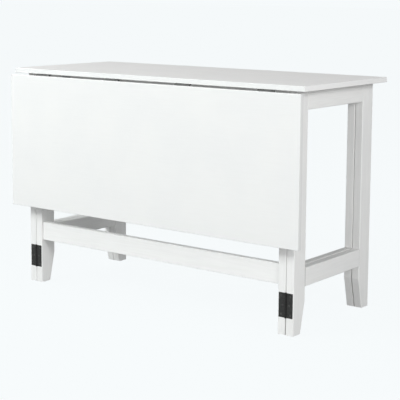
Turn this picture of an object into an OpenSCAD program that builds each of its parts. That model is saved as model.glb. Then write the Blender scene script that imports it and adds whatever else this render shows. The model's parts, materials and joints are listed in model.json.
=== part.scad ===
// Drop-leaf dining table with two swinging gates, in white painted wood.
// Millimetres, +Z up, X along the table, +Y towards its back.
// The origin is on the floor, under the middle of the table with its leaf hanging.
// The leaf hangs in front. Each end is a fixed frame with a gate frame beside it. The gate turns
// half a circle about the hinges on the front posts, and then stands under the raised leaf.

/* [Top and leaf] */
// Length of the top and of the leaf
table_l = 1180; // [1060:5:1400]
// Height of the table top above the floor
table_h = 750; // [700:1:790]
// Depth of the fixed top, front to back
top_d = 484; // [450:1:500]
// Depth of the leaf, from its hinged edge to its free edge
leaf_d = 453; // [430:1:500]
// Thickness of the top and of the leaf
panel_t = 16; // [15:0.5:22]
// Gap between the top and the raised leaf
joint_gap = 1.5; // [0.5:0.1:3]
// Radius of the eased edges of the top, the leaf, the stretcher and the apron
edge_r = 1.5; // [0.5:0.1:3]

/* [End frames] */
// How far the top reaches past the gates at each end
end_overhang = 41; // [20:1:70]
// How far the top reaches past the back posts
back_overhang = 15; // [5:1:40]
// Thickness of the posts and rails of the end frames, along X
post_w = 27; // [25:0.5:32]
// Depth of a post, front to back
post_d = 62; // [50:1:75]
// Radius of the eased edges of the posts and rails
frame_edge_r = 2.5; // [1:0.1:3]
// Depth of a post where it meets the floor
foot_d = 40; // [32:1:50]
// Height at which a post starts to narrow towards the floor
taper_z = 100; // [60:1:125]
// Height of the rail at the top of each frame
top_rail_h = 60; // [45:1:80]
// Height of the lower rail of each frame
low_rail_h = 57; // [45:1:75]
// Height of the lower rail's bottom edge above the floor
low_rail_z = 143; // [135:1:200]
// Gap between a fixed frame and its gate
split_gap = 1.2; // [0.4:0.1:2]
// Gap between the top of a gate and the panels above it
gate_top_clear = 1; // [0.5:0.1:4]
// Gap between a gate's post and the hanging leaf as the post turns past it
swing_clear = 0.5; // [0.4:0.1:5]

/* [Stretcher and apron] */
// Thickness of the stretcher and of the apron
bar_t = 22; // [20:0.5:28]
// How far the stretcher and the apron stand back from the faces of the posts
bar_recess = 6; // [3:0.5:12]
// Height of the front stretcher
stretcher_h = 62; // [45:1:80]
// Height of the stretcher's bottom edge above the floor
stretcher_z = 153; // [135:1:220]
// Height of the back apron, under the top
apron_h = 60; // [45:1:90]

/* [Gate hinges] */
// Height of a gate hinge
gate_hinge_h = 76; // [60:1:100]
// Width of a gate hinge when it lies flat
gate_hinge_w = 50; // [42:1:50]
// Thickness of the hinge plates, let in flush with the posts
gate_plate_t = 2; // [1.5:0.1:3]
// Diameter of the hinge knuckles
gate_knuckle_d = 6.4; // [5.6:0.1:8]
// Diameter of the gate hinge pins
gate_pin_d = 3.2; // [2.6:0.1:4]
// How far the pin stands in front of the faces of the posts
gate_pin_out = 0.2; // [0.15:0.05:1]
// Height of the lower hinge's middle above the floor
low_hinge_z = 93.5; // [80:0.5:120]
// Depth of the upper hinge's middle below the underside of the top
high_hinge_drop = 110; // [80:1:160]

/* [Leaf hinges] */
// Width of a leaf hinge, along X
leaf_hinge_w = 60; // [50:1:80]
// Length of one leaf hinge plate, from the pin to its far edge
leaf_plate_l = 32; // [26:1:45]
// Thickness of the leaf hinge plates
leaf_plate_t = 1.6; // [1.2:0.1:2]
// Depth of the leaf hinge pins below the underside of the top
hinge_drop = 5; // [4.6:0.1:7]
// Diameter of the leaf hinge knuckles
leaf_knuckle_d = 7; // [6:0.1:8]
// Diameter of the leaf hinge pins
leaf_pin_d = 3.6; // [3:0.1:4]
// Distance of the inner two leaf hinges from the middle of the table
inner_hinge_x = 145; // [100:1:200]
// Distance of the outer two leaf hinges from the fixed front posts
outer_hinge_in = 38; // [36:1:120]

/* [Fasteners] */
// Diameter of the wooden dowels
dowel_d = 8; // [6:0.5:10]
// Length of the dowels between rails and posts
rail_dowel_l = 56; // [40:1:60]
// Length of the dowels between the long bars and the posts
bar_dowel_l = 34; // [30:1:38]
// Distance of a dowel from the edge of its rail
dowel_inset = 14; // [12:0.5:18]
// Diameter of the frame bolts
bolt_d = 6; // [5:0.5:8]
// Diameter of the bolt heads
bolt_head_d = 14; // [12:0.5:16]
// Height of the bolt heads
bolt_head_h = 3.5; // [3:0.1:5]
// Distance from the end of a long bar to its barrel nut
nut_in = 32; // [25:1:50]
// Diameter of the barrel nuts
nut_d = 10; // [10:0.5:12]
// Diameter of the screw heads
screw_head_d = 7; // [6:0.1:8]
// Diameter of the screw shanks
screw_d = 3.5; // [3:0.1:4]
// Length of the gate hinge screws
hinge_screw_l = 25; // [16:1:30]
// Length of the screws into the top and the leaf
panel_screw_l = 12; // [10:0.5:14]
// Length of a top bracket
bracket_l = 40; // [30:1:60]
// Width of each flange of a top bracket
bracket_w = 25; // [20:1:35]
// Thickness of a top bracket
bracket_t = 2; // [1.5:0.1:3]
// Distance of the end brackets from the middle of their rail
bracket_y = 95; // [60:1:110]
// Distance of the back brackets from the middle of the apron
bracket_x = 240; // [150:1:300]
// Diameter of the foot glides
glide_d = 20; // [14:0.5:21]
// Thickness of the foot glides
glide_t = 2.5; // [2:0.1:4]

/* [Fits] */
// Radial clearance of the hinge pins
pin_clear = 0.05; // [0.02:0.01:0.1]
// Gap round a dowel, screw or bolt in its hole
hole_gap = 0.1; // [0.05:0.01:0.2]
// Gap beside a hinge knuckle, between it and its neighbours
knuckle_gap = 0.3; // [0.2:0.05:0.6]

/* [Hidden] */

paint = "whitesmoke";
black_steel = "#2b2b2b";
zinc = "silver";
beech = "burlywood";

// Heights
underside_z = table_h - panel_t;
leaf_pin_z = underside_z - hinge_drop;
gate_top_z = underside_z - gate_top_clear;
top_rail_z = underside_z - top_rail_h;
apron_z = underside_z - apron_h;
gate_hinge_zs = [low_hinge_z, underside_z - high_hinge_drop];

// Depths, from the hanging leaf at the front to the edge of the top at the back
closed_d = panel_t + hinge_drop + joint_gap / 2 + top_d;
leaf_front_y = -closed_d / 2;
leaf_back_y = leaf_front_y + panel_t;
leaf_pin_y = leaf_back_y + hinge_drop;
top_front_y = leaf_pin_y + joint_gap / 2;
top_back_y = closed_d / 2;
leg_front_y = leaf_back_y + post_w + split_gap / 2 + gate_pin_out + swing_clear;
leg_back_y = top_back_y - back_overhang;
frame_mid_y = (leg_front_y + leg_back_y) / 2;
rail_front_y = leg_front_y + post_d;
rail_back_y = leg_back_y - post_d;
stretcher_y = leg_front_y + bar_recess;
apron_y = leg_back_y - bar_recess - bar_t;
gate_pin_y = leg_front_y - gate_pin_out;

// Lengths, for the right-hand end
gate_outer_x = table_l / 2 - end_overhang;
gate_inner_x = gate_outer_x - post_w;
inner_outer_x = gate_inner_x - split_gap;
inner_x = inner_outer_x - post_w;
gate_pin_x = gate_inner_x - split_gap / 2;
outer_hinge_x = inner_x - outer_hinge_in;
leaf_hinge_xs = [-outer_hinge_x, -inner_hinge_x, inner_hinge_x, outer_hinge_x];

// Small sizes that several modules share
bite = 0.01;
over = 1;
knuckles = 5;
pin_head_h = 1;
pin_head_d = gate_pin_d * 1.45;
knuckle_h = gate_hinge_h / knuckles;
screw_edge = 10;
screw_stagger = 2.5;
gate_screw_x = (gate_knuckle_d + gate_hinge_w) / 4;
gate_screw_z = gate_hinge_h / 2 - screw_edge;
gate_screw_xz = [[gate_screw_x + screw_stagger, -gate_screw_z], [gate_screw_x - screw_stagger, 0],
                 [gate_screw_x + screw_stagger, gate_screw_z]];
leaf_screw_x = leaf_hinge_w / 2 - screw_edge;
leaf_screw_y = (leaf_knuckle_d / 2 + leaf_plate_l) / 2;
leaf_screw_xy = [[-leaf_screw_x, leaf_screw_y - screw_stagger], [0, leaf_screw_y + screw_stagger],
                 [leaf_screw_x, leaf_screw_y - screw_stagger]];
leaf_barrel_w = leaf_hinge_w / 3;
bracket_hole = bracket_w * 0.6;
pan_head_h = 2.2;
screw_tip_h = screw_d;
screw_tip_d = screw_d / 4;
glide_nail_d = 2.6;
glide_nail_l = 14;
nut_l = bar_t * 0.75;
nut_sink = 0.5;
bolt_end = 8;

$fn = 32;

// Mirrors a right-hand sub-part to the left-hand end
module left_hand() {
    mirror([1, 0, 0]) children();
}

// A rectangle with its corners rounded as the edges of the boards are
module eased_rect(w, h, r = edge_r) {
    translate([r, r]) offset(r = r) square([w - 2 * r, h - 2 * r]);
}

// A bar along Y with its four long edges eased
module bar_along_y(x, y0, y1, z, w, h, r = edge_r) {
    translate([x, y1, z]) rotate([90, 0, 0]) linear_extrude(y1 - y0) eased_rect(w, h, r);
}

// A bar along X with its four long edges eased
module bar_along_x(x0, x1, y, z, d, h) {
    translate([x0, y, z]) rotate([90, 0, 90]) linear_extrude(x1 - x0) eased_rect(d, h);
}

// A panel with all twelve edges eased
module eased_panel(x0, x1, y, z, d, h) {
    intersection() {
        bar_along_x(x0, x1, y, z, d, h);
        bar_along_y(x0, y, y + d, z, x1 - x0, h);
        translate([x0, y, z]) linear_extrude(h) eased_rect(x1 - x0, d);
    }
}

// A countersunk screw along -Z with its face at z = 0, or the hole for it
module countersunk_screw(len, gap = 0) {
    translate([0, 0, -gate_plate_t])
        cylinder(h = gate_plate_t, d1 = screw_d + 2 * gap, d2 = screw_head_d + 2 * gap);
    translate([0, 0, screw_tip_h - len - gap])
        cylinder(h = len - screw_tip_h - gate_plate_t + 2 * gap, d = screw_d + 2 * gap);
    translate([0, 0, -len - gap])
        cylinder(h = screw_tip_h, d1 = screw_tip_d + 2 * gap, d2 = screw_d + 2 * gap);
}

// A pan head screw along -Z with the underside of its head at z = 0, or the hole for it
module pan_screw(len, gap = 0) {
    cylinder(h = pan_head_h, d1 = screw_head_d + 2 * gap, d2 = screw_head_d * 0.77 + 2 * gap);
    translate([0, 0, screw_tip_h - len - gap])
        cylinder(h = len - screw_tip_h + 2 * gap, d = screw_d + 2 * gap);
    translate([0, 0, -len - gap])
        cylinder(h = screw_tip_h, d1 = screw_tip_d + 2 * gap, d2 = screw_d + 2 * gap);
}

// Top and leaf

module top_panel() {
    color(paint) difference() {
        eased_panel(-table_l / 2, table_l / 2, top_front_y, underside_z, top_d, panel_t);
        leaf_hinge_screws(top_side = true, gap = hole_gap);
        all_bracket_screws(gap = hole_gap);
    }
}

module leaf_panel() {
    leaf_top_z = leaf_pin_z - joint_gap / 2;
    color(paint) difference() {
        eased_panel(-table_l / 2, table_l / 2, leaf_front_y, leaf_top_z - leaf_d, panel_t, leaf_d);
        leaf_hinge_screws(top_side = false, gap = hole_gap);
    }
}

// Posts and rails

// A post is straight on its outer side and narrows to the foot on the other. It is what a
// straight bar and a leaning bar share, so all its long edges are eased.
module post_blank(x, top_z) {
    slope = (post_d - foot_d) / (taper_z - glide_t);
    lean_d = post_d + top_z * slope;
    translate([x, 0, 0]) intersection() {
        translate([0, 0, glide_t]) linear_extrude(top_z - glide_t)
            eased_rect(post_w, post_d, frame_edge_r);
        translate([0, foot_d, glide_t]) rotate([-atan(slope), 0, 0])
            translate([0, -lean_d, -post_d]) linear_extrude(2 * top_z)
                eased_rect(post_w, lean_d, frame_edge_r);
    }
}

// A rail between a front post and a back post
module rail_blank(x, z, h) {
    bar_along_y(x, rail_front_y, rail_back_y, z, post_w, h, frame_edge_r);
}

module front_post_blank(x, top_z) {
    translate([0, leg_front_y, 0]) post_blank(x, top_z);
}

module back_post_blank(x, top_z) {
    translate([0, leg_back_y, 0]) mirror([0, 1, 0]) post_blank(x, top_z);
}

// The dowels between the rails and posts of one end frame, or their holes
module rail_dowels(x, gap = 0) {
    for (y = [rail_front_y, rail_back_y])
        for (z = [low_rail_z + dowel_inset, low_rail_z + low_rail_h - dowel_inset,
                  top_rail_z + dowel_inset, top_rail_z + top_rail_h - dowel_inset])
            translate([x + post_w / 2, y, z]) rotate([90, 0, 0])
                cylinder(h = rail_dowel_l + 2 * gap, d = dowel_d + 2 * gap, center = true);
}

// The dowels between the stretcher, the apron and the right-hand posts, or their holes
module bar_dowels(gap = 0) {
    for (b = [[stretcher_y, stretcher_z, stretcher_h], [apron_y, apron_z, apron_h]])
        for (z = [b[1] + dowel_inset, b[1] + b[2] - dowel_inset])
            translate([inner_x, b[0] + bar_t / 2, z]) rotate([0, 90, 0])
                cylinder(h = bar_dowel_l + 2 * gap, d = dowel_d + 2 * gap, center = true);
}

// The bolts through the right-hand posts into the stretcher and the apron, or their holes
module bolts(gap = 0) {
    for (b = [[stretcher_y, stretcher_z, stretcher_h], [apron_y, apron_z, apron_h]])
        translate([inner_outer_x, b[0] + bar_t / 2, b[1] + b[2] / 2]) rotate([0, -90, 0]) {
            translate([0, 0, gap == 0 ? 0 : -over])
                cylinder(h = bolt_head_h + (gap == 0 ? 0 : over), d = bolt_head_d + 2 * gap);
            cylinder(h = post_w + nut_in + bolt_end + gap, d = bolt_d + 2 * gap);
        }
}

// The barrel nuts on the right-hand bolts, or their holes from the hidden side of the bar
module nuts(gap = 0) {
    for (b = [[stretcher_y + bar_t, 90, stretcher_z + stretcher_h / 2],
              [apron_y, -90, apron_z + apron_h / 2]])
        translate([inner_x - nut_in, b[0], b[2]]) rotate([b[1], 0, 0])
            translate([0, 0, gap == 0 ? nut_sink : -over])
                cylinder(h = nut_l + (gap == 0 ? 0 : over + nut_sink + gap), d = nut_d + 2 * gap);
}

module inner_front_post() {
    color(paint) difference() {
        front_post_blank(inner_x, underside_z);
        rail_dowels(inner_x, hole_gap);
        bar_dowels(hole_gap);
        bolts(hole_gap);
        gate_hinge_seat(-1);
        gate_hinge_screws(-1, hole_gap);
        glides_under(inner_x, hole_gap);
    }
}

module inner_back_post() {
    color(paint) difference() {
        back_post_blank(inner_x, underside_z);
        rail_dowels(inner_x, hole_gap);
        bar_dowels(hole_gap);
        bolts(hole_gap);
        glides_under(inner_x, hole_gap);
    }
}

module inner_top_rail() {
    color(paint) difference() {
        rail_blank(inner_x, top_rail_z, top_rail_h);
        rail_dowels(inner_x, hole_gap);
        all_bracket_screws(gap = hole_gap);
    }
}

module inner_low_rail() {
    color(paint) difference() {
        rail_blank(inner_x, low_rail_z, low_rail_h);
        rail_dowels(inner_x, hole_gap);
    }
}

module gate_front_post() {
    color(paint) difference() {
        front_post_blank(gate_inner_x, gate_top_z);
        rail_dowels(gate_inner_x, hole_gap);
        gate_hinge_seat(1);
        gate_hinge_screws(1, hole_gap);
        glides_under(gate_inner_x, hole_gap);
    }
}

module gate_back_post() {
    color(paint) difference() {
        back_post_blank(gate_inner_x, gate_top_z);
        rail_dowels(gate_inner_x, hole_gap);
        glides_under(gate_inner_x, hole_gap);
    }
}

module gate_top_rail() {
    color(paint) difference() {
        rail_blank(gate_inner_x, top_rail_z, top_rail_h - gate_top_clear);
        rail_dowels(gate_inner_x, hole_gap);
    }
}

module gate_low_rail() {
    color(paint) difference() {
        rail_blank(gate_inner_x, low_rail_z, low_rail_h);
        rail_dowels(gate_inner_x, hole_gap);
    }
}

module front_stretcher() {
    color(paint) difference() {
        bar_along_x(-inner_x, inner_x, stretcher_y, stretcher_z, bar_t, stretcher_h);
        both_ends() long_bar_holes();
    }
}

module back_apron() {
    color(paint) difference() {
        bar_along_x(-inner_x, inner_x, apron_y, apron_z, bar_t, apron_h);
        both_ends() long_bar_holes();
        all_bracket_screws(gap = hole_gap);
    }
}

module long_bar_holes() {
    bar_dowels(hole_gap);
    bolts(hole_gap);
    nuts(hole_gap);
}

// Draws a right-hand group at both ends
module both_ends() {
    children();
    left_hand() children();
}

// Gate hinges, for the right-hand end. side is 1 for the gate and -1 for the fixed frame.
// The frame plates hold knuckles 0, 2 and 4, and the gate plates hold 1 and 3.

function holds_knuckle(side, k) = (k % 2 == 0) == (side < 0);

module at_gate_hinges() {
    for (z = gate_hinge_zs) translate([gate_pin_x, gate_pin_y, z]) children();
}

// The shallow seat that a plate is let into, with the groove for the knuckles and pin heads
module gate_hinge_seat(side) {
    seat_h = gate_hinge_h + 2 * hole_gap;
    groove_h = gate_hinge_h + 4 * pin_head_h;
    seat_l = gate_hinge_w / 2 + hole_gap;
    at_gate_hinges() {
        translate([side < 0 ? -seat_l : 0, -post_w, -seat_h / 2])
            cube([seat_l, post_w + gate_pin_out + gate_plate_t + bite, seat_h]);
        cylinder(h = groove_h, d = gate_knuckle_d + 2 * knuckle_gap, center = true);
    }
}

module gate_hinge_plates(side) {
    clear_r = gate_knuckle_d / 2 + knuckle_gap;
    color(black_steel) difference() {
        at_gate_hinges() difference() {
            union() {
                translate([side < 0 ? -gate_hinge_w / 2 : clear_r, gate_pin_out, -gate_hinge_h / 2])
                    cube([gate_hinge_w / 2 - clear_r, gate_plate_t, gate_hinge_h]);
                for (k = [0 : knuckles - 1]) if (holds_knuckle(side, k))
                    translate([0, 0, k * knuckle_h - gate_hinge_h / 2]) gate_knuckle(side, k);
            }
            cylinder(h = gate_hinge_h + over, d = gate_pin_d + 2 * pin_clear, center = true);
        }
        gate_hinge_screws(side, hole_gap / 2);
    }
}

// One knuckle with the tongue that joins it to its plate
module gate_knuckle(side, k) {
    trim_low = k == 0 ? 0 : knuckle_gap / 2;
    trim_high = k == knuckles - 1 ? 0 : knuckle_gap / 2;
    tongue = gate_knuckle_d / 2 + knuckle_gap + bite;
    h = knuckle_h - trim_low - trim_high;
    translate([0, 0, trim_low]) {
        cylinder(h = h, d = gate_knuckle_d);
        translate([side < 0 ? -tongue : 0, gate_pin_out, 0]) cube([tongue, gate_plate_t, h]);
    }
}

module gate_hinge_pins() {
    color(black_steel) at_gate_hinges() {
        cylinder(h = gate_hinge_h + 2 * pin_head_h, d = gate_pin_d, center = true);
        for (m = [0, 1]) mirror([0, 0, m])
            translate([0, 0, gate_hinge_h / 2 + hole_gap])
                cylinder(h = pin_head_h, d1 = pin_head_d, d2 = pin_head_d * 0.8);
    }
}

module gate_hinge_screws(side, gap = 0) {
    at_gate_hinges() for (p = gate_screw_xz)
        translate([side * p[0], gate_pin_out, p[1]]) rotate([90, 0, 0])
            countersunk_screw(hinge_screw_l, gap);
}

// Leaf hinges. Each plate is drawn as it lies on the underside of the top, behind the pin, and
// the leaf's plate is turned down about the pin to the back of the hanging leaf.

module at_leaf_hinges(top_side) {
    for (x = leaf_hinge_xs) translate([x, leaf_pin_y, leaf_pin_z])
        if (top_side) children();
        else rotate([90, 0, 0]) mirror([0, 1, 0]) children();
}

// The outline of a leaf hinge plate across the pin, with its knuckle
module leaf_plate_outline() {
    r = leaf_knuckle_d / 2;
    foot = r + knuckle_gap;
    translate([foot, hinge_drop - leaf_plate_t]) square([leaf_plate_l - foot, leaf_plate_t]);
    circle(d = leaf_knuckle_d);
    polygon([[0, r], [0, r - leaf_plate_t], [r * 0.9, 0], [foot + leaf_plate_t, hinge_drop - leaf_plate_t],
             [foot + leaf_plate_t, hinge_drop], [foot, hinge_drop]]);
}

module leaf_plates(top_side) {
    color(black_steel) difference() {
        at_leaf_hinges(top_side) leaf_plate(top_side);
        leaf_hinge_screws(top_side, gap = hole_gap / 2);
    }
}

// The top's plate holds the two outer knuckles and the leaf's plate the middle one
module leaf_plate(top_side) {
    r = leaf_knuckle_d / 2;
    foot = r + knuckle_gap;
    difference() {
        union() {
            translate([-leaf_hinge_w / 2, foot + leaf_plate_t, hinge_drop - leaf_plate_t])
                cube([leaf_hinge_w, leaf_plate_l - foot - leaf_plate_t, leaf_plate_t]);
            for (k = [-1, 0, 1]) if ((k == 0) != top_side)
                translate([(k - 0.5) * leaf_barrel_w + knuckle_gap / 2, 0, 0]) rotate([90, 0, 90])
                    linear_extrude(leaf_barrel_w - knuckle_gap) leaf_plate_outline();
        }
        rotate([0, 90, 0])
            cylinder(h = leaf_hinge_w + over, d = leaf_pin_d + 2 * pin_clear, center = true);
    }
}

module leaf_hinge_pins() {
    color(black_steel) at_leaf_hinges(true) rotate([0, 90, 0])
        cylinder(h = leaf_hinge_w - knuckle_gap, d = leaf_pin_d, center = true);
}

module leaf_hinge_screws(top_side, gap = 0) {
    at_leaf_hinges(top_side) for (p = leaf_screw_xy)
        translate([p[0], p[1], hinge_drop - leaf_plate_t]) mirror([0, 0, 1])
            pan_screw(panel_screw_l, gap);
}

// Dowels, bolts and nuts

module inner_frame_dowels() {
    color(beech) both_ends() rail_dowels(inner_x);
}

module gate_dowels() {
    color(beech) rail_dowels(gate_inner_x);
}

module long_bar_dowels() {
    color(beech) both_ends() bar_dowels();
}

module frame_bolts() {
    color(zinc) both_ends() bolts();
}

module barrel_nuts() {
    color(zinc) difference() {
        both_ends() nuts();
        both_ends() bolts(hole_gap);
    }
}

// Brackets that hold the top to the inner top rails and the apron

module at_brackets() {
    both_ends() for (y = [-bracket_y, bracket_y])
        translate([inner_x, frame_mid_y + y, underside_z]) rotate([0, 0, 180]) children();
    for (x = [-bracket_x, bracket_x])
        translate([x, apron_y, underside_z]) rotate([0, 0, -90]) children();
}

module top_brackets() {
    color(zinc) difference() {
        at_brackets() {
            translate([0, -bracket_l / 2, -bracket_t]) cube([bracket_w, bracket_l, bracket_t]);
            translate([0, -bracket_l / 2, -bracket_w]) cube([bracket_t, bracket_l, bracket_w]);
        }
        all_bracket_screws(gap = hole_gap / 2);
    }
}

module all_bracket_screws(gap = 0) {
    at_brackets() {
        translate([bracket_hole, 0, -bracket_t]) mirror([0, 0, 1]) pan_screw(panel_screw_l, gap);
        translate([bracket_t, 0, -bracket_hole]) rotate([0, 90, 0]) pan_screw(panel_screw_l, gap);
    }
}

// Foot glides under the front and back post of a frame, or the holes for their nails

module glides_under(x, gap = 0) {
    for (y = [leg_front_y + foot_d / 2, leg_back_y - foot_d / 2])
        translate([x + post_w / 2, y, 0]) {
            cylinder(h = glide_t, d1 = glide_d * 0.9, d2 = glide_d);
            cylinder(h = glide_t + glide_nail_l + gap, d = glide_nail_d + 2 * gap);
        }
}

module inner_frame_glides() {
    color("gainsboro") both_ends() glides_under(inner_x);
}

module gate_glides() {
    color("gainsboro") glides_under(gate_inner_x);
}

top_panel();
leaf_panel();
front_stretcher();
back_apron();
left_hand() inner_front_post();  // left_inner_front_post
left_hand() inner_back_post();  // left_inner_back_post
left_hand() inner_top_rail();  // left_inner_top_rail
left_hand() inner_low_rail();  // left_inner_low_rail
inner_front_post();  // right_inner_front_post
inner_back_post();  // right_inner_back_post
inner_top_rail();  // right_inner_top_rail
inner_low_rail();  // right_inner_low_rail
left_hand() gate_front_post();  // left_gate_front_post
left_hand() gate_back_post();  // left_gate_back_post
left_hand() gate_top_rail();  // left_gate_top_rail
left_hand() gate_low_rail();  // left_gate_low_rail
gate_front_post();  // right_gate_front_post
gate_back_post();  // right_gate_back_post
gate_top_rail();  // right_gate_top_rail
gate_low_rail();  // right_gate_low_rail
left_hand() gate_hinge_plates(-1);  // left_hinge_frame_plates
left_hand() gate_hinge_plates(1);  // left_hinge_gate_plates
left_hand() gate_hinge_pins();  // left_hinge_pins
gate_hinge_plates(-1);  // right_hinge_frame_plates
gate_hinge_plates(1);  // right_hinge_gate_plates
gate_hinge_pins();  // right_hinge_pins
color(black_steel) both_ends() gate_hinge_screws(-1);  // frame_hinge_screws
color(black_steel) left_hand() gate_hinge_screws(1);  // left_gate_hinge_screws
color(black_steel) gate_hinge_screws(1);  // right_gate_hinge_screws
leaf_plates(top_side = true);  // leaf_hinge_top_plates
leaf_plates(top_side = false);  // leaf_hinge_leaf_plates
leaf_hinge_pins();
color(black_steel) leaf_hinge_screws(top_side = true);  // leaf_hinge_top_screws
color(black_steel) leaf_hinge_screws(top_side = false);  // leaf_hinge_leaf_screws
inner_frame_dowels();
left_hand() gate_dowels();  // left_gate_dowels
gate_dowels();  // right_gate_dowels
long_bar_dowels();
frame_bolts();
barrel_nuts();
top_brackets();
color(zinc) all_bracket_screws();  // bracket_screws
inner_frame_glides();
left_hand() gate_glides();  // left_gate_glides
gate_glides();  // right_gate_glides
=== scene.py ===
import json
import math

import bpy
from mathutils import Matrix, Vector


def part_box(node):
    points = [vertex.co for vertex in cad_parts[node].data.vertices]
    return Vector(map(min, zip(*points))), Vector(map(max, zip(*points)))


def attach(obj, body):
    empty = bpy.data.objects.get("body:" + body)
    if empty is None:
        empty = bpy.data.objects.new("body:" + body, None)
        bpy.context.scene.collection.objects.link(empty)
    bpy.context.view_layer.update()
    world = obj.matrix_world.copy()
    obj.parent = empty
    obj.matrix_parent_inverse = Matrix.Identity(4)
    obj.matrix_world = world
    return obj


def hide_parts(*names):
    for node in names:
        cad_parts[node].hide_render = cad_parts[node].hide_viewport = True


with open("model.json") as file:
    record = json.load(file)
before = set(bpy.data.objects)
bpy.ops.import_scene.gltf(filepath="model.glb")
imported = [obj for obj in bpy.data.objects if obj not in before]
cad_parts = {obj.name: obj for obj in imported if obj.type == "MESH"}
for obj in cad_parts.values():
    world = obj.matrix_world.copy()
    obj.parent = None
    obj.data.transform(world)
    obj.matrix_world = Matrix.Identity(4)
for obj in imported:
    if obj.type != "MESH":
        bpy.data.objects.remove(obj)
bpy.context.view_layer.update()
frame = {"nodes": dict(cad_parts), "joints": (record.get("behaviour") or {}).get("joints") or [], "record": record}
nodes = frame["nodes"]
scene = bpy.context.scene
MM = 0.001


# Places that the frame gives, in metres. The x values are those of the right-hand end.

joint_places = {joint["name"]: joint["pos_m"] for joint in frame["joints"]}
gate_pin_x, _, low_hinge_z = joint_places["right_gate_swing"]
_, leaf_pin_y, leaf_pin_z = joint_places["leaf_lift"]
post_low, post_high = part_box("right_inner_front_post")
back_post_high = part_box("right_inner_back_post")[1]
stretcher_low, stretcher_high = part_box("front_stretcher")
apron_low, apron_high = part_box("back_apron")
underside_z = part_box("top_panel")[0].z
post_w = post_high.x - post_low.x
post_d = post_high.y - post_low.y


# Short ways to build node trees

def first(rows, **wanted):
    """The first of some sockets or nodes whose settings are as wanted."""
    return next(row for row in rows if all(getattr(row, name) == value for name, value in wanted.items()))


class Net:
    """Adds and joins the nodes of one tree."""

    def __init__(self, tree):
        self.tree = tree

    def add(self, kind, **settings):
        made = self.tree.nodes.new(kind)
        for name, value in settings.items():
            setattr(made, name, value)
        return made

    def put(self, socket, value):
        if isinstance(value, bpy.types.NodeSocket):
            self.tree.links.new(value, socket)
        elif value is not None:
            socket.default_value = value

    def math(self, what, a, b=None, c=None):
        made = self.add("ShaderNodeMath", operation=what)
        for socket, value in zip(made.inputs, (a, b, c)):
            self.put(socket, value)
        return made.outputs[0]

    def vector(self, what, a, b=None):
        made = self.add("ShaderNodeVectorMath", operation=what)
        self.put(made.inputs[0], a)
        self.put(made.inputs[1], b)
        return made.outputs["Vector"]

    def axes(self, value):
        made = self.add("ShaderNodeSeparateXYZ")
        self.put(made.inputs[0], value)
        return made.outputs

    def noise(self, where, scale, detail, roughness):
        made = self.add("ShaderNodeTexNoise")
        self.put(made.inputs["Vector"], where)
        self.put(made.inputs["Scale"], scale)
        self.put(made.inputs["Detail"], detail)
        self.put(made.inputs["Roughness"], roughness)
        return made.outputs["Fac"]

    def span(self, value, low, high, to_low=0.0, to_high=1.0):
        """A smooth step from to_low, where the value is low, to to_high, where it is high."""
        made = self.add("ShaderNodeMapRange", interpolation_type="SMOOTHSTEP")
        for name, given in (("Value", value), ("From Min", low), ("From Max", high),
                            ("To Min", to_low), ("To Max", to_high)):
            self.put(made.inputs[name], given)
        return made.outputs["Result"]

    def blend(self, factor, a, b):
        made = self.add("ShaderNodeMix", data_type="RGBA")
        self.put(made.inputs["Factor"], factor)
        for name, value in (("A", a), ("B", b)):
            self.put(first(made.inputs, name=name, type="RGBA"), value)
        return first(made.outputs, type="RGBA")

    def bump(self, height, depth, strength):
        made = self.add("ShaderNodeBump")
        self.put(made.inputs["Height"], height)
        self.put(made.inputs["Distance"], depth)
        self.put(made.inputs["Strength"], strength)
        return made.outputs["Normal"]


def shader_group(name, inputs, outputs):
    """An empty group with named sockets: (net, inputs, outputs)."""
    tree = bpy.data.node_groups.new(name, "ShaderNodeTree")
    for label, kind, value in inputs:
        socket = tree.interface.new_socket(label, in_out="INPUT", socket_type="NodeSocket" + kind)
        if value is not None:
            socket.default_value = value
    for label, kind in outputs:
        tree.interface.new_socket(label, in_out="OUTPUT", socket_type="NodeSocket" + kind)
    net = Net(tree)
    return net, net.add("NodeGroupInput").outputs, net.add("NodeGroupOutput").inputs


def use_group(net, group, **values):
    """Places a group; underscores in a keyword stand for spaces in the socket's name."""
    made = net.add("ShaderNodeGroup", node_tree=group)
    for name, value in values.items():
        net.put(made.inputs[name.replace("_", " ")], value)
    return made.outputs


def new_material(name):
    """(material, net, shader, object coordinates)"""
    made = bpy.data.materials.new(name)
    made.use_nodes = True
    made.node_tree.nodes.clear()
    net = Net(made.node_tree)
    shader = net.add("ShaderNodeBsdfPrincipled")
    net.put(net.add("ShaderNodeOutputMaterial").inputs["Surface"], shader.outputs["BSDF"])
    return made, net, shader, net.add("ShaderNodeTexCoord").outputs["Object"]


# Groups that the finishes share

GRAIN_SCALE = 260.0
MARK_SCALE = 900.0
TONE_SCALE = 7.0


def make_board_edges():
    """Mask of 1 along the twelve edges of a board, from its middle and half sizes."""
    net, given, out = shader_group(
        "Board edges",
        [("Position", "Vector", None), ("Middle", "Vector", None), ("Half Size", "Vector", None),
         ("Width", "Float", 3.0 * MM)],
        [("Edge", "Float")])
    from_middle = net.vector("ABSOLUTE", net.vector("SUBTRACT", given["Position"], given["Middle"]))
    inside = net.axes(net.vector("SUBTRACT", given["Half Size"], from_middle))
    x, y, z = inside[0], inside[1], inside[2]
    second = net.math("MAXIMUM", net.math("MINIMUM", x, y), net.math("MINIMUM", net.math("MAXIMUM", x, y), z))
    net.put(out["Edge"], net.span(second, given["Width"], 0.0))
    return net.tree


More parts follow.
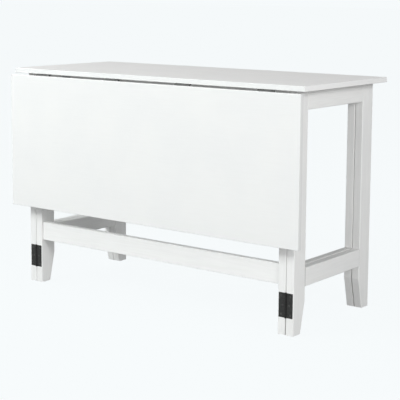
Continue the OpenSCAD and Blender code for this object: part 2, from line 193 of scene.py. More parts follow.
def make_brushed_paint():
    """Grain and brush marks that run along one axis, and slow changes of tone."""
    net, given, out = shader_group(
        "Brushed paint",
        [("Position", "Vector", None), ("Stretch", "Vector", (1.0, 1.0, 1.0)), ("Offset", "Vector", None)],
        [("Grain", "Float"), ("Marks", "Float"), ("Tone", "Float")])
    place = net.vector("ADD", given["Position"], given["Offset"])
    drawn = net.vector("MULTIPLY", place, given["Stretch"])
    net.put(out["Grain"], net.span(net.noise(drawn, GRAIN_SCALE, 4.0, 0.6), 0.35, 0.7))
    net.put(out["Marks"], net.noise(drawn, MARK_SCALE, 2.0, 0.5))
    net.put(out["Tone"], net.span(net.noise(place, TONE_SCALE, 3.0, 0.55), 0.3, 0.7))
    return net.tree


def make_fine_coat():
    """Fine pores and patches of a sprayed or plated coat."""
    net, given, out = shader_group(
        "Fine coat",
        [("Position", "Vector", None), ("Pore Scale", "Float", 2500.0), ("Patch Scale", "Float", 90.0)],
        [("Pores", "Float"), ("Patches", "Float")])
    net.put(out["Pores"], net.noise(given["Position"], given["Pore Scale"], 3.0, 0.6))
    net.put(out["Patches"], net.span(net.noise(given["Position"], given["Patch Scale"], 4.0, 0.6), 0.3, 0.7))
    return net.tree


BOARD_EDGES = make_board_edges()
BRUSHED_PAINT = make_brushed_paint()
FINE_COAT = make_fine_coat()


def from_gate_pin(net, x):
    """How far x is from the nearer end's gate pins, whose axis stands in the split of the posts."""
    return net.math("ABSOLUTE", net.math("SUBTRACT", net.math("ABSOLUTE", x), gate_pin_x))


# White paint of the boards

GRAIN_STRETCH = 0.035                       # the grain is drawn out along a board by one over this
BOARD_OFFSET = (0.37, 0.61, 0.23)           # moves the pattern on from one board to the next
# painted highlight: a lighter white laid along every edge of a board, standing in for light caught by the eased
# edges
EDGE_PAINTED_HIGHLIGHT = (0.91, 0.91, 0.9, 1.0)
PAINT_WORN = (0.66, 0.65, 0.63, 1.0)
TONE_SHARE = 0.5
EDGE_HIGHLIGHT_SHARE = 0.4
EDGE_WIDTH = 2.2 * MM
PAINT_ROUGHNESS = (0.36, 0.48)
PAINT_RELIEF = (0.08 * MM, 0.6)             # depth and strength
GRAIN_HEIGHT = 0.6                          # shares of that depth that the grain and the marks make
MARK_HEIGHT = 0.4

# the paint's two tones, and how strongly the grain shows through
LEAF_PAINT = ((0.86, 0.86, 0.85, 1.0), (0.825, 0.83, 0.83, 1.0), 0.05)
TOP_PAINT = ((0.897, 0.872, 0.862, 1.0), (0.856, 0.836, 0.834, 1.0), 0.22)
# painted light: the stretcher's white is lighter than the frame's, standing in for more light on it
STRETCHER_PAINTED_LIGHT = ((0.93, 0.928, 0.917, 1.0), (0.898, 0.898, 0.893, 1.0), 0.13)
FRAME_PAINT = ((0.9, 0.897, 0.885, 1.0), (0.86, 0.86, 0.855, 1.0), 0.15)
BOARD_PAINT = {"leaf_panel": LEAF_PAINT, "top_panel": TOP_PAINT, "front_stretcher": STRETCHER_PAINTED_LIGHT}

# painted light and shade on the narrow faces of the two panels: (front edge, ends). Painted shade darkens the
# top's front edge and the leaf's ends, and painted light brightens the top's ends
PANEL_EDGE_LIGHT_AND_SHADE = {"top_panel": ((0.8, 0.808, 0.8, 1.0), (0.93, 0.926, 0.916, 1.0)),
               "leaf_panel": (None, (0.8, 0.802, 0.792, 1.0))}

# painted shade in lines and on faces; a strip is (where it starts, where it is full), measured inwards from a face
PAINTED_SHADE = (0.2, 0.19, 0.18, 1.0)
PANEL_STRIP = (1.4 * MM, 0.6 * MM)
JOINT_STRIP = (1.6 * MM, 0.8 * MM)
JOINT_STRENGTH = 0.5
UPPER_STRIP = (1.2 * MM, 0.7 * MM)
UPPER_STRENGTH = 0.13
SPLIT_STRIP = (2.4 * MM, 1.2 * MM)          # from the split's middle, across the post
SPLIT_DEPTH = (5.0 * MM, 3.0 * MM)          # from the post's front or back face
SPLIT_FADE = (0.1, 0.16)                    # the line fades between these heights
SPLIT_STRENGTH = {"left": 0.08, "right": 0.5}
SPLIT_FAINT = 0.08                          # its strength above them
FOOT_D = 40.0 * MM                          # depth of a post at its foot
TAPER_Z = 100.0 * MM                        # height at which a post starts to narrow


def split_painted_shade(net, place, node, low, high):
    """Mask of painted shade, for the shadow in the gap where two posts meet, on the outermost strips of their
    faces, strongest near the floor.
    """
    x, y, z = net.axes(place)[0:3]
    slope = (post_d - FOOT_D) / (TAPER_Z - low.z)
    depth = net.math("MINIMUM", post_d, net.math("MULTIPLY_ADD", z, slope, FOOT_D - low.z * slope))
    into = net.math("SUBTRACT", y, low.y) if "front" in node else net.math("SUBTRACT", high.y, y)
    near = net.math("MINIMUM", into, net.math("SUBTRACT", depth, into))
    beside = net.span(from_gate_pin(net, x), *SPLIT_STRIP)
    line = net.math("MULTIPLY", beside, net.span(near, *SPLIT_DEPTH))
    side = node.split("_")[0]
    return net.math("MULTIPLY", line, net.span(z, *SPLIT_FADE, SPLIT_STRENGTH[side], SPLIT_FAINT))


def joint_painted_shade(net, place, low, high, along):
    """Mask of painted shade on the last strips of a bar, where its ends meet the posts."""
    way = net.axes(place)[along]
    half = (high[along] - low[along]) / 2
    middle = (high[along] + low[along]) / 2
    from_end = net.math("SUBTRACT", half, net.math("ABSOLUTE", net.math("SUBTRACT", way, middle)))
    return net.span(from_end, *JOINT_STRIP, 0.0, JOINT_STRENGTH)


def upper_face_painted_shade(net, place, high):
    """Faint mask of painted shade on the face of a rail that looks up, under the top."""
    return net.span(net.math("SUBTRACT", high.z, net.axes(place)[2]), *UPPER_STRIP, 0.0, UPPER_STRENGTH)


def panel_edge_light_and_shade(net, place, low, high, colour, front, ends):
    """The colour of a panel, with the painted light and shade of its front edge and of its two ends laid over it.
    """
    x, y = net.axes(place)[0:2]
    from_end = net.math("SUBTRACT", high.x, net.math("ABSOLUTE", x))
    colour = net.blend(net.span(from_end, *PANEL_STRIP), colour, ends)
    if front:
        colour = net.blend(net.span(net.math("SUBTRACT", y, low.y), *PANEL_STRIP), colour, front)
    return colour


def painted_board(node, number):
    """Satin white paint on one board, with grain and brush marks along its length, a painted highlight along its
    edges and, on some boards, painted light and shade.
    """
    low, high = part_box(node)
    size = high - low
    along = max(range(3), key=lambda axis: size[axis])
    stretch = [1.0, 1.0, 1.0]
    stretch[along] = GRAIN_STRETCH
    made, net, shader, place = new_material("White paint " + node.replace("_", " "))
    paint = use_group(net, BRUSHED_PAINT, Position=place, Stretch=stretch,
                      Offset=[part * number for part in BOARD_OFFSET])
    edge = use_group(net, BOARD_EDGES, Position=place, Middle=(low + high) / 2, Half_Size=size / 2,
                     Width=EDGE_WIDTH)["Edge"]
    white, cool, grain = BOARD_PAINT.get(node, FRAME_PAINT)
    colour = net.blend(net.math("MULTIPLY", paint["Tone"], TONE_SHARE), white, cool)
    colour = net.blend(net.math("MULTIPLY", paint["Grain"], grain), colour, PAINT_WORN)
    # painted highlight along the board's edges
    colour = net.blend(net.math("MULTIPLY", edge, EDGE_HIGHLIGHT_SHARE), colour, EDGE_PAINTED_HIGHLIGHT)
    # painted light and shade on the panels' front edges and ends
    if node in PANEL_EDGE_LIGHT_AND_SHADE:
        colour = panel_edge_light_and_shade(net, place, low, high, colour, *PANEL_EDGE_LIGHT_AND_SHADE[node])
    # painted shade in the gap where two posts meet
    if "post" in node:
        colour = net.blend(split_painted_shade(net, place, node, low, high), colour, PAINTED_SHADE)
    # painted shade where the low rails and the stretcher butt against the posts
    if "low_rail" in node or node == "front_stretcher":
        colour = net.blend(joint_painted_shade(net, place, low, high, along), colour, PAINTED_SHADE)
    # painted shade on the low rails' upper faces, under the top
    if "low_rail" in node:
        colour = net.blend(upper_face_painted_shade(net, place, high), colour, PAINTED_SHADE)
    net.put(shader.inputs["Base Color"], colour)
    net.put(shader.inputs["Roughness"], net.span(paint["Marks"], 0.3, 0.7, *PAINT_ROUGHNESS))
    grain_height = net.math("MULTIPLY", paint["Grain"], GRAIN_HEIGHT)
    mark_height = net.math("MULTIPLY", paint["Marks"], MARK_HEIGHT)
    net.put(shader.inputs["Normal"], net.bump(net.math("ADD", grain_height, mark_height), *PAINT_RELIEF))
    return made


# Metal, dowels and glides

HINGE_BLACK = ((0.018, 0.018, 0.018, 1.0), (0.034, 0.034, 0.033, 1.0))
LEAF_HINGE_BLACK = ((0.055, 0.055, 0.054, 1.0), (0.085, 0.085, 0.083, 1.0))
SCREW_BLACK = ((0.04, 0.04, 0.039, 1.0), (0.075, 0.075, 0.073, 1.0))
# painted shade in the knuckles of the gate hinges
KNUCKLE_PAINTED_SHADE = (0.006, 0.006, 0.006, 1.0)
KNUCKLE_STRIP = (3.8 * MM, 3.0 * MM)        # from the pin's axis
MASK_RANGE = {"Pores": (0.3, 0.7), "Patches": (0.0, 1.0)}


def coated(name, scales, colours, colour_mask, rough_mask, rough, relief, metallic=0.0, knuckle_shade=False):
    """A plain finish, with a relief of fine pores. Pores or patches vary its colour and its roughness.

    scales are those of pores and patches, and relief is depth and strength. With knuckle shade, painted
    shade darkens the finish round the pins of the gate hinges."""
    made, net, shader, place = new_material(name)
    coat = use_group(net, FINE_COAT, Position=place, Pore_Scale=scales[0], Patch_Scale=scales[1])
    colour = net.blend(coat[colour_mask], *colours)
    # painted shade round the pins of the gate hinges
    if knuckle_shade:
        from_pin = from_gate_pin(net, net.axes(place)[0])
        colour = net.blend(net.span(from_pin, *KNUCKLE_STRIP), colour, KNUCKLE_PAINTED_SHADE)
    net.put(shader.inputs["Base Color"], colour)
    net.put(shader.inputs["Roughness"], net.span(coat[rough_mask], *MASK_RANGE[rough_mask], *rough))
    net.put(shader.inputs["Metallic"], metallic)
    net.put(shader.inputs["Normal"], net.bump(coat["Pores"], *relief))
    return made


def black_coat(name, colours, knuckle_shade=False):
    """Semi-matt black coat on steel."""
    return coated(name, (2600.0, 140.0), colours, "Patches", "Pores", (0.4, 0.58), (0.06 * MM, 0.7),
                  knuckle_shade=knuckle_shade)


def zinc():
    """Bright zinc plate, in soft patches."""
    tones = ((0.62, 0.64, 0.66, 1.0), (0.72, 0.73, 0.73, 1.0))
    return coated("Zinc plated steel", (1800.0, 160.0), tones, "Patches", "Patches", (0.24, 0.4),
                  (0.03 * MM, 0.5), metallic=1.0)


def beech():
    """Bare beech of the dowels."""
    tones = ((0.55, 0.37, 0.21, 1.0), (0.68, 0.5, 0.31, 1.0))
    return coated("Unfinished beech", (900.0, 60.0), tones, "Pores", "Patches", (0.55, 0.7), (0.08 * MM, 0.7))


def glide_plastic():
    """Pale grey moulded plastic."""
    tones = ((0.72, 0.72, 0.71, 1.0), (0.78, 0.78, 0.77, 1.0))
    return coated("Moulded glide plastic", (3200.0, 70.0), tones, "Patches", "Pores", (0.45, 0.6),
                  (0.04 * MM, 0.6))


screw_black = black_coat("Black screws", SCREW_BLACK)
gate_hinge_black = black_coat("Black gate hinges", HINGE_BLACK, knuckle_shade=True)
leaf_hinge_black = black_coat("Black leaf hinges", LEAF_HINGE_BLACK)
slot_finish = {"black_steel": black_coat("Black coated steel", HINGE_BLACK), "zinc_steel": zinc(),
               "beech": beech(), "glide_plastic": glide_plastic()}


def dress_nodes():
    """Gives every CAD node its finish."""
    slot_of = {row["node"]: row["material_slot"] for row in frame["record"]["subparts"]}
    for number, name in enumerate(sorted(nodes)):
        finish = slot_finish.get(slot_of[name]) or painted_board(name, number)
        if "_hinge_frame_" in name or "_hinge_gate_" in name:
            finish = gate_hinge_black
        elif name.startswith("leaf_hinge_"):
            finish = leaf_hinge_black
        for material_slot in nodes[name].material_slots:
            material_slot.material = finish


dress_nodes()


# The tree that makes a turned fastener

POCKET_REACH = 0.74                         # radius of a driver's cutter, over its width
POCKET_OVER = 0.3 * MM                      # how far the cutter stands out of the head
# corners of a driver's pocket, and the turns at which it is cut
POCKETS = {"cross": (4, (0.0, math.pi / 2)), "slot": (4, (0.0,)), "hexagon": (6, (0.0,))}
# a fastener's values, unless it is given others
USUAL_VALUES = [("Head Diameter", "Float", 7.0 * MM), ("Head Height", "Float", 2.0 * MM),
                ("Shank Diameter", "Float", 3.5 * MM), ("Length", "Float", 25.0 * MM),
                ("Tip Length", "Float", 3.5 * MM), ("Pocket Width", "Float", 3.6 * MM),
                ("Pocket Depth", "Float", 1.4 * MM), ("Hole Diameter", "Float", 6.2 * MM),
                ("Hole Depth", "Float", 10.5 * MM), ("Pocket Thinness", "Float", 0.3),
                ("Pocket Taper", "Float", 0.68), ("Turn", "Float", 2 * math.pi), ("Sides", "Int", 24),
                ("Seed", "Int", 1)]
SHARP_ANGLE = math.radians(30)


def steps(net, given, terms):
    """The sum of named inputs, each times a plain factor."""
    total = 0.0
    for name, factor in terms.items():
        total = net.math("MULTIPLY_ADD", given[name], factor, total)
    return total


def pick(net, index, values):
    """The value of the ring that a point belongs to."""
    made = net.add("GeometryNodeIndexSwitch", data_type="FLOAT")
    for _ in values[2:]:
        made.index_switch_items.new()
    net.put(made.inputs[0], index)
    for socket, value in zip(made.inputs[1:], values):
        net.put(socket, value)
    return made.outputs[0]


def turned_solid(net, sides, rings):
    """A closed solid of revolution about Z. Each ring is (height, radius), from the top down."""
    rod = net.add("GeometryNodeMeshCylinder", fill_type="NGON")
    for name, value in (("Vertices", sides), ("Side Segments", len(rings) - 1),
                        ("Radius", 1.0), ("Depth", 1.0)):
        net.put(rod.inputs[name], value)
    x, y, z = net.axes(net.add("GeometryNodeInputPosition").outputs[0])[0:3]
    ring = net.math("ROUND", net.math("MULTIPLY", net.math("SUBTRACT", 0.5, z), len(rings) - 1.0))
    heights, radii = zip(*rings)
    radius = pick(net, ring, radii)
    height = pick(net, ring, heights)
    place = net.add("ShaderNodeCombineXYZ")
    net.put(place.inputs[0], net.math("MULTIPLY", x, radius))
    net.put(place.inputs[1], net.math("MULTIPLY", y, radius))
    net.put(place.inputs[2], height)
    shaped = net.add("GeometryNodeSetPosition")
    net.put(shaped.inputs["Geometry"], rod.outputs["Mesh"])
    net.put(shaped.inputs["Position"], place.outputs[0])
    return shaped.outputs[0]


def tapered_pocket(net, given, sides, floor_z, turn):
    """A tapered wedge that is cut out for a driver. Thinness is its thickness over its width."""
    wedge = net.add("GeometryNodeMeshCone", fill_type="NGON")
    over = net.math("ADD", given["Pocket Depth"], POCKET_OVER)
    reach = net.math("MULTIPLY", given["Pocket Width"], POCKET_REACH)
    for name, value in (("Vertices", sides), ("Radius Top", reach), ("Depth", over),
                        ("Radius Bottom", net.math("MULTIPLY", reach, given["Pocket Taper"]))):
        net.put(wedge.inputs[name], value)
    square = net.add("GeometryNodeTransform")
    net.put(square.inputs["Geometry"], wedge.outputs["Mesh"])
    square.inputs["Rotation"].default_value = (0.0, 0.0, math.pi / sides)
    placed = net.add("GeometryNodeTransform")
    net.put(placed.inputs["Geometry"], square.outputs[0])
    size = net.add("ShaderNodeCombineXYZ")
    for socket, value in zip(size.inputs, (1.0, given["Pocket Thinness"], 1.0)):
        net.put(socket, value)
    lift = net.add("ShaderNodeCombineXYZ")
    net.put(lift.inputs[2], floor_z)
    net.put(placed.inputs["Scale"], size.outputs[0])
    net.put(placed.inputs["Translation"], lift.outputs[0])
    turned = net.add("GeometryNodeTransform")
    net.put(turned.inputs["Geometry"], placed.outputs[0])
    turned.inputs["Rotation"].default_value = (0.0, 0.0, turn)
    return turned.outputs[0]


def bolt_hole(net, given):
    """The cross hole of a barrel nut, along its own X."""
    rod = net.add("GeometryNodeMeshCylinder", fill_type="NGON")
    for name, value in (("Vertices", 24), ("Radius", net.math("MULTIPLY", given["Hole Diameter"], 0.5)),
                        ("Depth", net.math("MULTIPLY", given["Head Diameter"], 1.4))):
        net.put(rod.inputs[name], value)
    place = net.add("ShaderNodeCombineXYZ")
    net.put(place.inputs[2], net.math("MULTIPLY", given["Hole Depth"], -1.0))
    laid = net.add("GeometryNodeTransform")
    net.put(laid.inputs["Geometry"], rod.outputs["Mesh"])
    laid.inputs["Rotation"].default_value = (0.0, math.pi / 2, 0.0)
    net.put(laid.inputs["Translation"], place.outputs[0])
    return laid.outputs[0]


def cut(net, solid, tools):
    """The solid, less what the tools take out of it."""
    made = net.add("GeometryNodeMeshBoolean", operation="DIFFERENCE", solver="EXACT")
    net.put(made.inputs["Mesh 1"], solid)
    for tool in tools:
        net.put(made.inputs["Mesh 2"], tool)
    return made.outputs["Mesh"]


def facing(net, given):
    """The turn of each fastener: its head looks along the aim of its point, spun by chance about that."""
    aim = net.add("GeometryNodeInputNamedAttribute", data_type="FLOAT_VECTOR")
    aim.inputs["Name"].default_value = "aim"
    faced = net.add("FunctionNodeAlignRotationToVector", axis="Z")
    net.put(faced.inputs["Vector"], aim.outputs["Attribute"])
    chance = net.add("FunctionNodeRandomValue", data_type="FLOAT")
    net.put(first(chance.inputs, name="Max", enabled=True), given["Turn"])
    net.put(chance.inputs["Seed"], given["Seed"])
    spin = net.add("FunctionNodeAxisAngleToRotation")
    spin.inputs["Axis"].default_value = (0.0, 0.0, 1.0)
    net.put(spin.inputs["Angle"], first(chance.outputs, enabled=True))
    both = net.add("FunctionNodeRotateRotation", rotation_space="LOCAL")
    net.put(both.inputs["Rotation"], faced.outputs[0])
    net.put(both.inputs["Rotate By"], spin.outputs[0])
    return both.outputs[0]


def fastener_tree(name, rings, top, pocket, drill=None):
    """Puts one turned fastener, with a pocket for its driver, on every point of the mesh."""
    tree = bpy.data.node_groups.new(name, "GeometryNodeTree")
    tree.interface.new_socket("Geometry", in_out="INPUT", socket_type="NodeSocketGeometry")
    for label, kind, value in USUAL_VALUES:
        socket = tree.interface.new_socket(label, in_out="INPUT", socket_type="NodeSocket" + kind)
        socket.default_value = value
    tree.interface.new_socket("Material", in_out="INPUT", socket_type="NodeSocketMaterial")
    tree.interface.new_socket("Geometry", in_out="OUTPUT", socket_type="NodeSocketGeometry")
    net = Net(tree)
    given, out = net.add("NodeGroupInput").outputs, net.add("NodeGroupOutput").inputs
    solid = turned_solid(net, given["Sides"], [(steps(net, given, height), steps(net, given, radius))
                                               for height, radius in rings])
    floor_z = net.math("SUBTRACT", steps(net, given, top), given["Pocket Depth"])
    corners, turns = POCKETS[pocket]
    tools = [tapered_pocket(net, given, corners, floor_z, turn) for turn in turns]
    if drill:
        tools.append(drill(net, given))
    placed = net.add("GeometryNodeInstanceOnPoints")
    net.put(placed.inputs["Points"], given["Geometry"])
    net.put(placed.inputs["Instance"], cut(net, solid, tools))
    net.put(placed.inputs["Rotation"], facing(net, given))
    real = net.add("GeometryNodeRealizeInstances")
    net.put(real.inputs["Geometry"], placed.outputs[0])
    painted = net.add("GeometryNodeSetMaterial")
    net.put(painted.inputs["Geometry"], real.outputs[0])
    net.put(painted.inputs["Material"], given["Material"])
    net.put(out["Geometry"], painted.outputs[0])
    return tree


def head(height, radius):
    """A ring of a head, in shares of its height and of its radius."""
    return {"Head Height": height}, {"Head Diameter": radius / 2}


SHANK = {"Shank Diameter": 0.5}
SHANK_END = ({"Length": -1.0, "Tip Length": 1.0}, SHANK)
SCREW_POINT = ({"Length": -1.0}, {"Shank Diameter": 0.125})
BOLT_TIP = ({"Length": -1.0}, {"Shank Diameter": 0.4})
FLUSH = {"Head Height": 0.0}
PROUD = {"Head Height": 1.0}

COUNTERSUNK_SCREWS = fastener_tree(
    "Countersunk screws",
    [head(0.0, 0.95), head(-0.1, 0.99), ({"Head Height": -1.0}, SHANK), SHANK_END, SCREW_POINT],
    FLUSH, "cross")
PAN_SCREWS = fastener_tree(
    "Pan head screws",
    [head(1.0, 0.42), head(0.95, 0.62), head(0.78, 0.82), head(0.5, 0.94), head(0.12, 1.0), head(0.0, 0.96),
     (FLUSH, SHANK), SHANK_END, SCREW_POINT],
    PROUD, "cross")
FRAME_BOLTS = fastener_tree(
    "Frame bolts",
    [head(0.0, 0.9), head(-0.15, 1.0), head(-0.9, 1.0), head(-1.0, 0.96), ({"Head Height": -1.0}, SHANK),
     SHANK_END, BOLT_TIP],
    FLUSH, "hexagon")
BARREL_NUTS = fastener_tree(
    "Barrel nuts",
    [head(0.0, 0.92), head(-0.025, 0.995), head(-0.975, 0.995), head(-1.0, 0.92)],
    FLUSH, "slot", bolt_hole)


def fasten(name, body, node, slot, tree, places, finish=None, **sizes):
    """One mesh of fasteners in place of a node. A place is (point, direction that the head faces)."""
    mesh = bpy.data.meshes.new(name)
    mesh.from_pydata([point for point, _ in places], [], [])
    aim = mesh.attributes.new("aim", "FLOAT_VECTOR", "POINT")
    aim.data.foreach_set("vector", [part for _, way in places for part in way])
    piece = bpy.data.objects.new(name, mesh)
    scene.collection.objects.link(piece)
    modifier = piece.modifiers.new("Fasteners", "NODES")
    modifier.node_group = tree
    values = {label.replace("_", " "): value for label, value in sizes.items()}
    values["Material"] = finish or slot_finish[slot]
    for socket in tree.interface.items_tree:
        if socket.in_out == "INPUT" and socket.name in values:
            modifier[socket.identifier] = values[socket.name]
    shown = piece.evaluated_get(bpy.context.evaluated_depsgraph_get())
    made = bpy.data.meshes.new_from_object(shown)
    made.name = name
    piece.modifiers.clear()
    piece.data = made
    made.shade_smooth()
    made.set_sharp_from_angle(angle=SHARP_ANGLE)
    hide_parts(node)
    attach(piece, body)


# Screws, bolts and nuts, one function for each kind

ENDS = (-1.0, 1.0)
FORWARD = (0.0, -1.0, 0.0)
BACKWARD = (0.0, 1.0, 0.0)
DOWN = (0.0, 0.0, -1.0)
SCREW_EDGE = 10.0 * MM                      # from a screw to the edge of its hinge plate
SCREW_STAGGER = 2.5 * MM
GATE_HINGE_H = 76.0 * MM
GATE_HINGE_W = 50.0 * MM
GATE_KNUCKLE_D = 6.4 * MM
HIGH_HINGE_DROP = 110.0 * MM                # the upper gate hinge's middle, below the top's underside
LEAF_HINGE_W = 60.0 * MM
LEAF_PLATE_L = 32.0 * MM
LEAF_PLATE_T = 1.6 * MM
LEAF_KNUCKLE_D = 7.0 * MM
INNER_HINGE_X = 145.0 * MM
OUTER_HINGE_IN = 38.0 * MM                  # the outer leaf hinges, in from the fixed front posts
BRACKET_X = 240.0 * MM                      # the apron's brackets, from its middle
BRACKET_Y = 95.0 * MM                       # the top rails' brackets, from their middles
BRACKET_T = 2.0 * MM
BRACKET_HOLE = 15.0 * MM                    # a bracket's screws, from its corner
NUT_IN = 32.0 * MM                          # a barrel nut, from the end of its bar
NUT_SINK = 0.5 * MM
NUT_SHARE = 0.75                            # its length over the bar's thickness
BOLT_END = 8.0 * MM                         # how far a bolt reaches past its nut's axis
PAN_SIZES = {"Head_Height": 2.2 * MM, "Length": 12.0 * MM, "Pocket_Depth": 1.5 * MM}


def gate_screw_places(ends, side):
    """Heads of the gate hinge screws: side is 1 for the gate's plates and -1 for the frame's."""
    out = (GATE_KNUCKLE_D + GATE_HINGE_W) / 4
    up = GATE_HINGE_H / 2 - SCREW_EDGE
    three = ((out + SCREW_STAGGER, -up), (out - SCREW_STAGGER, 0.0), (out + SCREW_STAGGER, up))
    return [((end * (gate_pin_x + side * x), post_low.y, middle + z), FORWARD)
            for end in ends for middle in (low_hinge_z, underside_z - HIGH_HINGE_DROP) for x, z in three]


def make_gate_hinge_screws():
    for name, body, node, ends, side, seed in (
            ("frame_hinge_screws_cross", "table", "frame_hinge_screws", ENDS, -1, 3),
            ("left_gate_hinge_screws_cross", "left_gate", "left_gate_hinge_screws", ENDS[:1], 1, 5),
            ("right_gate_hinge_screws_cross", "right_gate", "right_gate_hinge_screws", ENDS[1:], 1, 8)):
        fasten(name, body, node, "black_steel", COUNTERSUNK_SCREWS, gate_screw_places(ends, side),
               screw_black, Seed=seed)


def make_leaf_hinge_screws():
    """Three screws in each plate: up into the top, and forward into the hanging leaf."""
    beside = LEAF_HINGE_W / 2 - SCREW_EDGE
    away = (LEAF_KNUCKLE_D / 2 + LEAF_PLATE_L) / 2
    near, far = away - SCREW_STAGGER, away + SCREW_STAGGER
    outer_x = post_low.x - OUTER_HINGE_IN
    screws = [(x + along, off) for x in (-outer_x, -INNER_HINGE_X, INNER_HINGE_X, outer_x)
              for along, off in ((-beside, near), (0.0, far), (beside, near))]
    plate_face = underside_z - leaf_pin_z - LEAF_PLATE_T
    fasten("leaf_hinge_top_screws_cross", "table", "leaf_hinge_top_screws", "black_steel", PAN_SCREWS,
           [((x, leaf_pin_y + off, leaf_pin_z + plate_face), DOWN) for x, off in screws],
           screw_black, Seed=11, **PAN_SIZES)
    fasten("leaf_hinge_leaf_screws_cross", "leaf", "leaf_hinge_leaf_screws", "black_steel", PAN_SCREWS,
           [((x, leaf_pin_y - plate_face, leaf_pin_z - off), BACKWARD) for x, off in screws],
           screw_black, Seed=14, **PAN_SIZES)


def make_bracket_screws():
    """Two screws in each bracket: up into the top, and sideways into the rail or the apron."""
    flat_z = underside_z - BRACKET_T
    upright_z = underside_z - BRACKET_HOLE
    rail_middle_y = (post_low.y + back_post_high.y) / 2
    places = []
    for end in ENDS:
        for y in (rail_middle_y - BRACKET_Y, rail_middle_y + BRACKET_Y):
            places.append(((end * (post_low.x - BRACKET_HOLE), y, flat_z), DOWN))
            places.append(((end * (post_low.x - BRACKET_T), y, upright_z), (-end, 0.0, 0.0)))
        x = end * BRACKET_X
        places.append(((x, apron_low.y - BRACKET_HOLE, flat_z), DOWN))
        places.append(((x, apron_low.y - BRACKET_T, upright_z), FORWARD))
    fasten("bracket_screws_cross", "table", "bracket_screws", "zinc_steel", PAN_SCREWS, places,
           Seed=17, **PAN_SIZES)


def make_frame_bolts():
    """A bolt through each fixed post into the middle of the stretcher's or the apron's end."""
    middles = [(low + high) / 2 for low, high in ((stretcher_low, stretcher_high), (apron_low, apron_high))]
    fasten("frame_bolts_hexagon", "table", "frame_bolts", "zinc_steel", FRAME_BOLTS,
           [((end * post_high.x, middle.y, middle.z), (end, 0.0, 0.0)) for end in ENDS for middle in middles],
           Head_Diameter=14.0 * MM, Head_Height=3.5 * MM, Shank_Diameter=6.0 * MM,
           Length=post_w + NUT_IN + BOLT_END, Tip_Length=1.5 * MM, Pocket_Width=3.6 * MM,
           Pocket_Depth=2.4 * MM, Pocket_Thinness=1.0, Pocket_Taper=0.97, Sides=32, Seed=20)


def make_barrel_nuts():
    """A nut on each frame bolt, let into the hidden face of its bar."""
    x = post_low.x - NUT_IN
    nuts = ((stretcher_high.y - NUT_SINK, (stretcher_low.z + stretcher_high.z) / 2, BACKWARD),
            (apron_low.y + NUT_SINK, (apron_low.z + apron_high.z) / 2, FORWARD))
    fasten("barrel_nuts_slotted", "table", "barrel_nuts", "zinc_steel", BARREL_NUTS,
           [((end * x, y, z), way) for end in ENDS for y, z, way in nuts],
           Head_Diameter=10.0 * MM, Head_Height=(stretcher_high.y - stretcher_low.y) * NUT_SHARE,
           Pocket_Width=11.5 * MM, Pocket_Depth=1.6 * MM, Pocket_Thinness=0.14, Pocket_Taper=0.97,
           Turn=0.0, Sides=32)


make_gate_hinge_screws()
make_leaf_hinge_screws()
make_bracket_screws()
make_frame_bolts()
make_barrel_nuts()


# Floor, light and camera

FLOOR_REACH = 60.0
BACKDROP = (0.922, 0.955, 0.965, 1.0)       # the near-white that the camera sees all round
# the floor's grey and its own glow, as the table is lit by it and as the camera sees it
FLOOR_LIT = (0.29, 0.1)
FLOOR_SEEN = (0.02, 0.985)
FLOOR_ROUGHNESS = 0.9
# sines of the elevations where the dome's glow begins and ends, and half of each change
SKY_LOW = 0.3
SKY_HIGH = 0.7
SKY_SOFT = 0.15
# the dome's strength below the glow, in it, and what is left of it above
SKY_BELOW = 0.07
SKY_GLOW = 0.65
SKY_ABOVE = 0.05
LIGHT_TARGET = (0.0, 0.0, 0.4)
COOL_LIGHT = (0.97, 1.0, 0.995)
WHITE_LIGHT = (1.0, 1.0, 1.0)
# name, azimuth, elevation, distance, size, power and colour of each light;
# azimuth 0 is in front of the leaf, and 90 is off the table's right end
SOFTBOXES = (
    ("Key softbox", -30, 35, 4.5, 1.5, 115.0, COOL_LIGHT),
    ("Left softbox", -70, 35, 3.0, 1.5, 24.0, COOL_LIGHT),
    ("Right softbox", 70, 20, 4.5, 1.5, 76.0, WHITE_LIGHT),
    ("Camera fill", 37, 8, 4.5, 1.5, 35.0, WHITE_LIGHT),
    ("Overhead softbox", 0, 89, 3.5, 2.0, 13.5, WHITE_LIGHT),
    ("Back softbox", 176, 14, 4.5, 1.5, 10.0, WHITE_LIGHT))
PHOTO_WIDTH = 400                           # in pixels
FOCAL_LENGTH = 1162.568                     # in pixels of the photograph
SENSOR_WIDTH = 36.0                         # in millimetres
CAMERA_PLACE = (2.358785, -3.030772, 1.020943)
CAMERA_ANGLES = (37.445, 7.365, 0.361)      # turned left from +Y, tipped down, rolled
CAMERA_SHIFT = -0.15


def set_floor_look(shader, grey, glow):
    """A matt grey that glows a little in the backdrop's tone."""
    shader.inputs["Base Color"].default_value = (grey, grey, grey, 1.0)
    shader.inputs["Roughness"].default_value = FLOOR_ROUGHNESS
    shader.inputs["Specular IOR Level"].default_value = 0.0
    shader.inputs["Emission Color"].default_value = BACKDROP
    shader.inputs["Emission Strength"].default_value = glow


def make_floor():
    """A pale floor that looks evenly lit, and throws only a little light back up at the table."""
    mesh = bpy.data.meshes.new("floor")
    corners = [(FLOOR_REACH * x, FLOOR_REACH * y, 0) for x, y in ((-1, -1), (1, -1), (1, 1), (-1, 1))]
    mesh.from_pydata(corners, [], [(0, 1, 2, 3)])
    floor = bpy.data.objects.new("floor", mesh)
    scene.collection.objects.link(floor)
    made, net, shader, _ = new_material("Pale floor")
    set_floor_look(shader, *FLOOR_LIT)
    seen = net.add("ShaderNodeBsdfPrincipled")
    set_floor_look(seen, *FLOOR_SEEN)
    both = net.add("ShaderNodeMixShader")
    net.put(both.inputs[0], net.add("ShaderNodeLightPath").outputs["Is Camera Ray"])
    net.put(both.inputs[1], shader.outputs["BSDF"])
    net.put(both.inputs[2], seen.outputs["BSDF"])
    output = first(made.node_tree.nodes, type="OUTPUT_MATERIAL")
    net.put(output.inputs["Surface"], both.outputs["Shader"])
    mesh.materials.append(made)


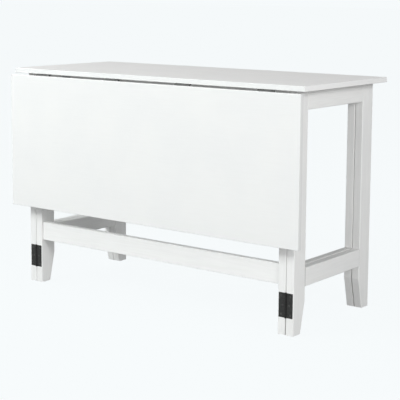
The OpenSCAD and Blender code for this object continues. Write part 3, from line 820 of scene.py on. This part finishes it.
def make_sky():
    """A soft dome that glows halfway up. The camera sees the near-white backdrop in its place."""
    world = bpy.data.worlds.new("Studio")
    world.use_nodes = True
    net = Net(world.node_tree)
    back = world.node_tree.nodes["Background"]
    height = net.axes(net.add("ShaderNodeTexCoord").outputs["Generated"])[2]
    rise = net.span(height, SKY_LOW - SKY_SOFT, SKY_LOW + SKY_SOFT, SKY_BELOW, SKY_GLOW)
    fall = net.span(height, SKY_HIGH - SKY_SOFT, SKY_HIGH + SKY_SOFT, 1.0, SKY_ABOVE)
    glow = net.math("MULTIPLY", rise, fall)
    seen = net.add("ShaderNodeLightPath").outputs["Is Camera Ray"]
    back.inputs["Color"].default_value = BACKDROP
    strength = net.add("ShaderNodeMix", data_type="FLOAT")
    for socket, value in zip((strength.inputs[0], strength.inputs[2], strength.inputs[3]), (seen, glow, 1.0)):
        net.put(socket, value)
    net.put(back.inputs["Strength"], strength.outputs[0])
    scene.world = world


def make_softbox(name, azimuth, elevation, distance, size, power, colour):
    """A square soft light that faces the table."""
    turn = math.radians(azimuth)
    rise = math.radians(elevation)
    away = Vector((math.sin(turn) * math.cos(rise), -math.cos(turn) * math.cos(rise), math.sin(rise)))
    data = bpy.data.lights.new(name, "AREA")
    data.size = size
    data.energy = power
    data.color = colour
    light = bpy.data.objects.new(name, data)
    light.location = Vector(LIGHT_TARGET) + away * distance
    light.rotation_euler = away.to_track_quat("Z", "Y").to_euler()
    scene.collection.objects.link(light)


def make_camera():
    """The photograph's camera, fitted to the table's edges."""
    yaw, pitch, roll = (math.radians(angle) for angle in CAMERA_ANGLES)
    forward = Vector((-math.sin(yaw) * math.cos(pitch), math.cos(yaw) * math.cos(pitch), -math.sin(pitch)))
    level = forward.cross(Vector((0, 0, 1))).normalized()
    over = level.cross(forward)
    right = level * math.cos(roll) + over * math.sin(roll)
    up = over * math.cos(roll) - level * math.sin(roll)
    data = bpy.data.cameras.new("Camera")
    data.sensor_width = SENSOR_WIDTH
    data.lens = FOCAL_LENGTH / PHOTO_WIDTH * SENSOR_WIDTH
    data.shift_y = CAMERA_SHIFT
    data.clip_start = 0.1
    data.clip_end = 100.0
    camera = bpy.data.objects.new("Camera", data)
    turn = Matrix((right, up, -forward)).transposed().to_4x4()
    camera.matrix_world = Matrix.Translation(CAMERA_PLACE) @ turn
    scene.collection.objects.link(camera)
    scene.camera = camera


make_floor()
make_sky()
for softbox in SOFTBOXES:
    make_softbox(*softbox)
make_camera()
scene.view_settings.view_transform = "Standard"
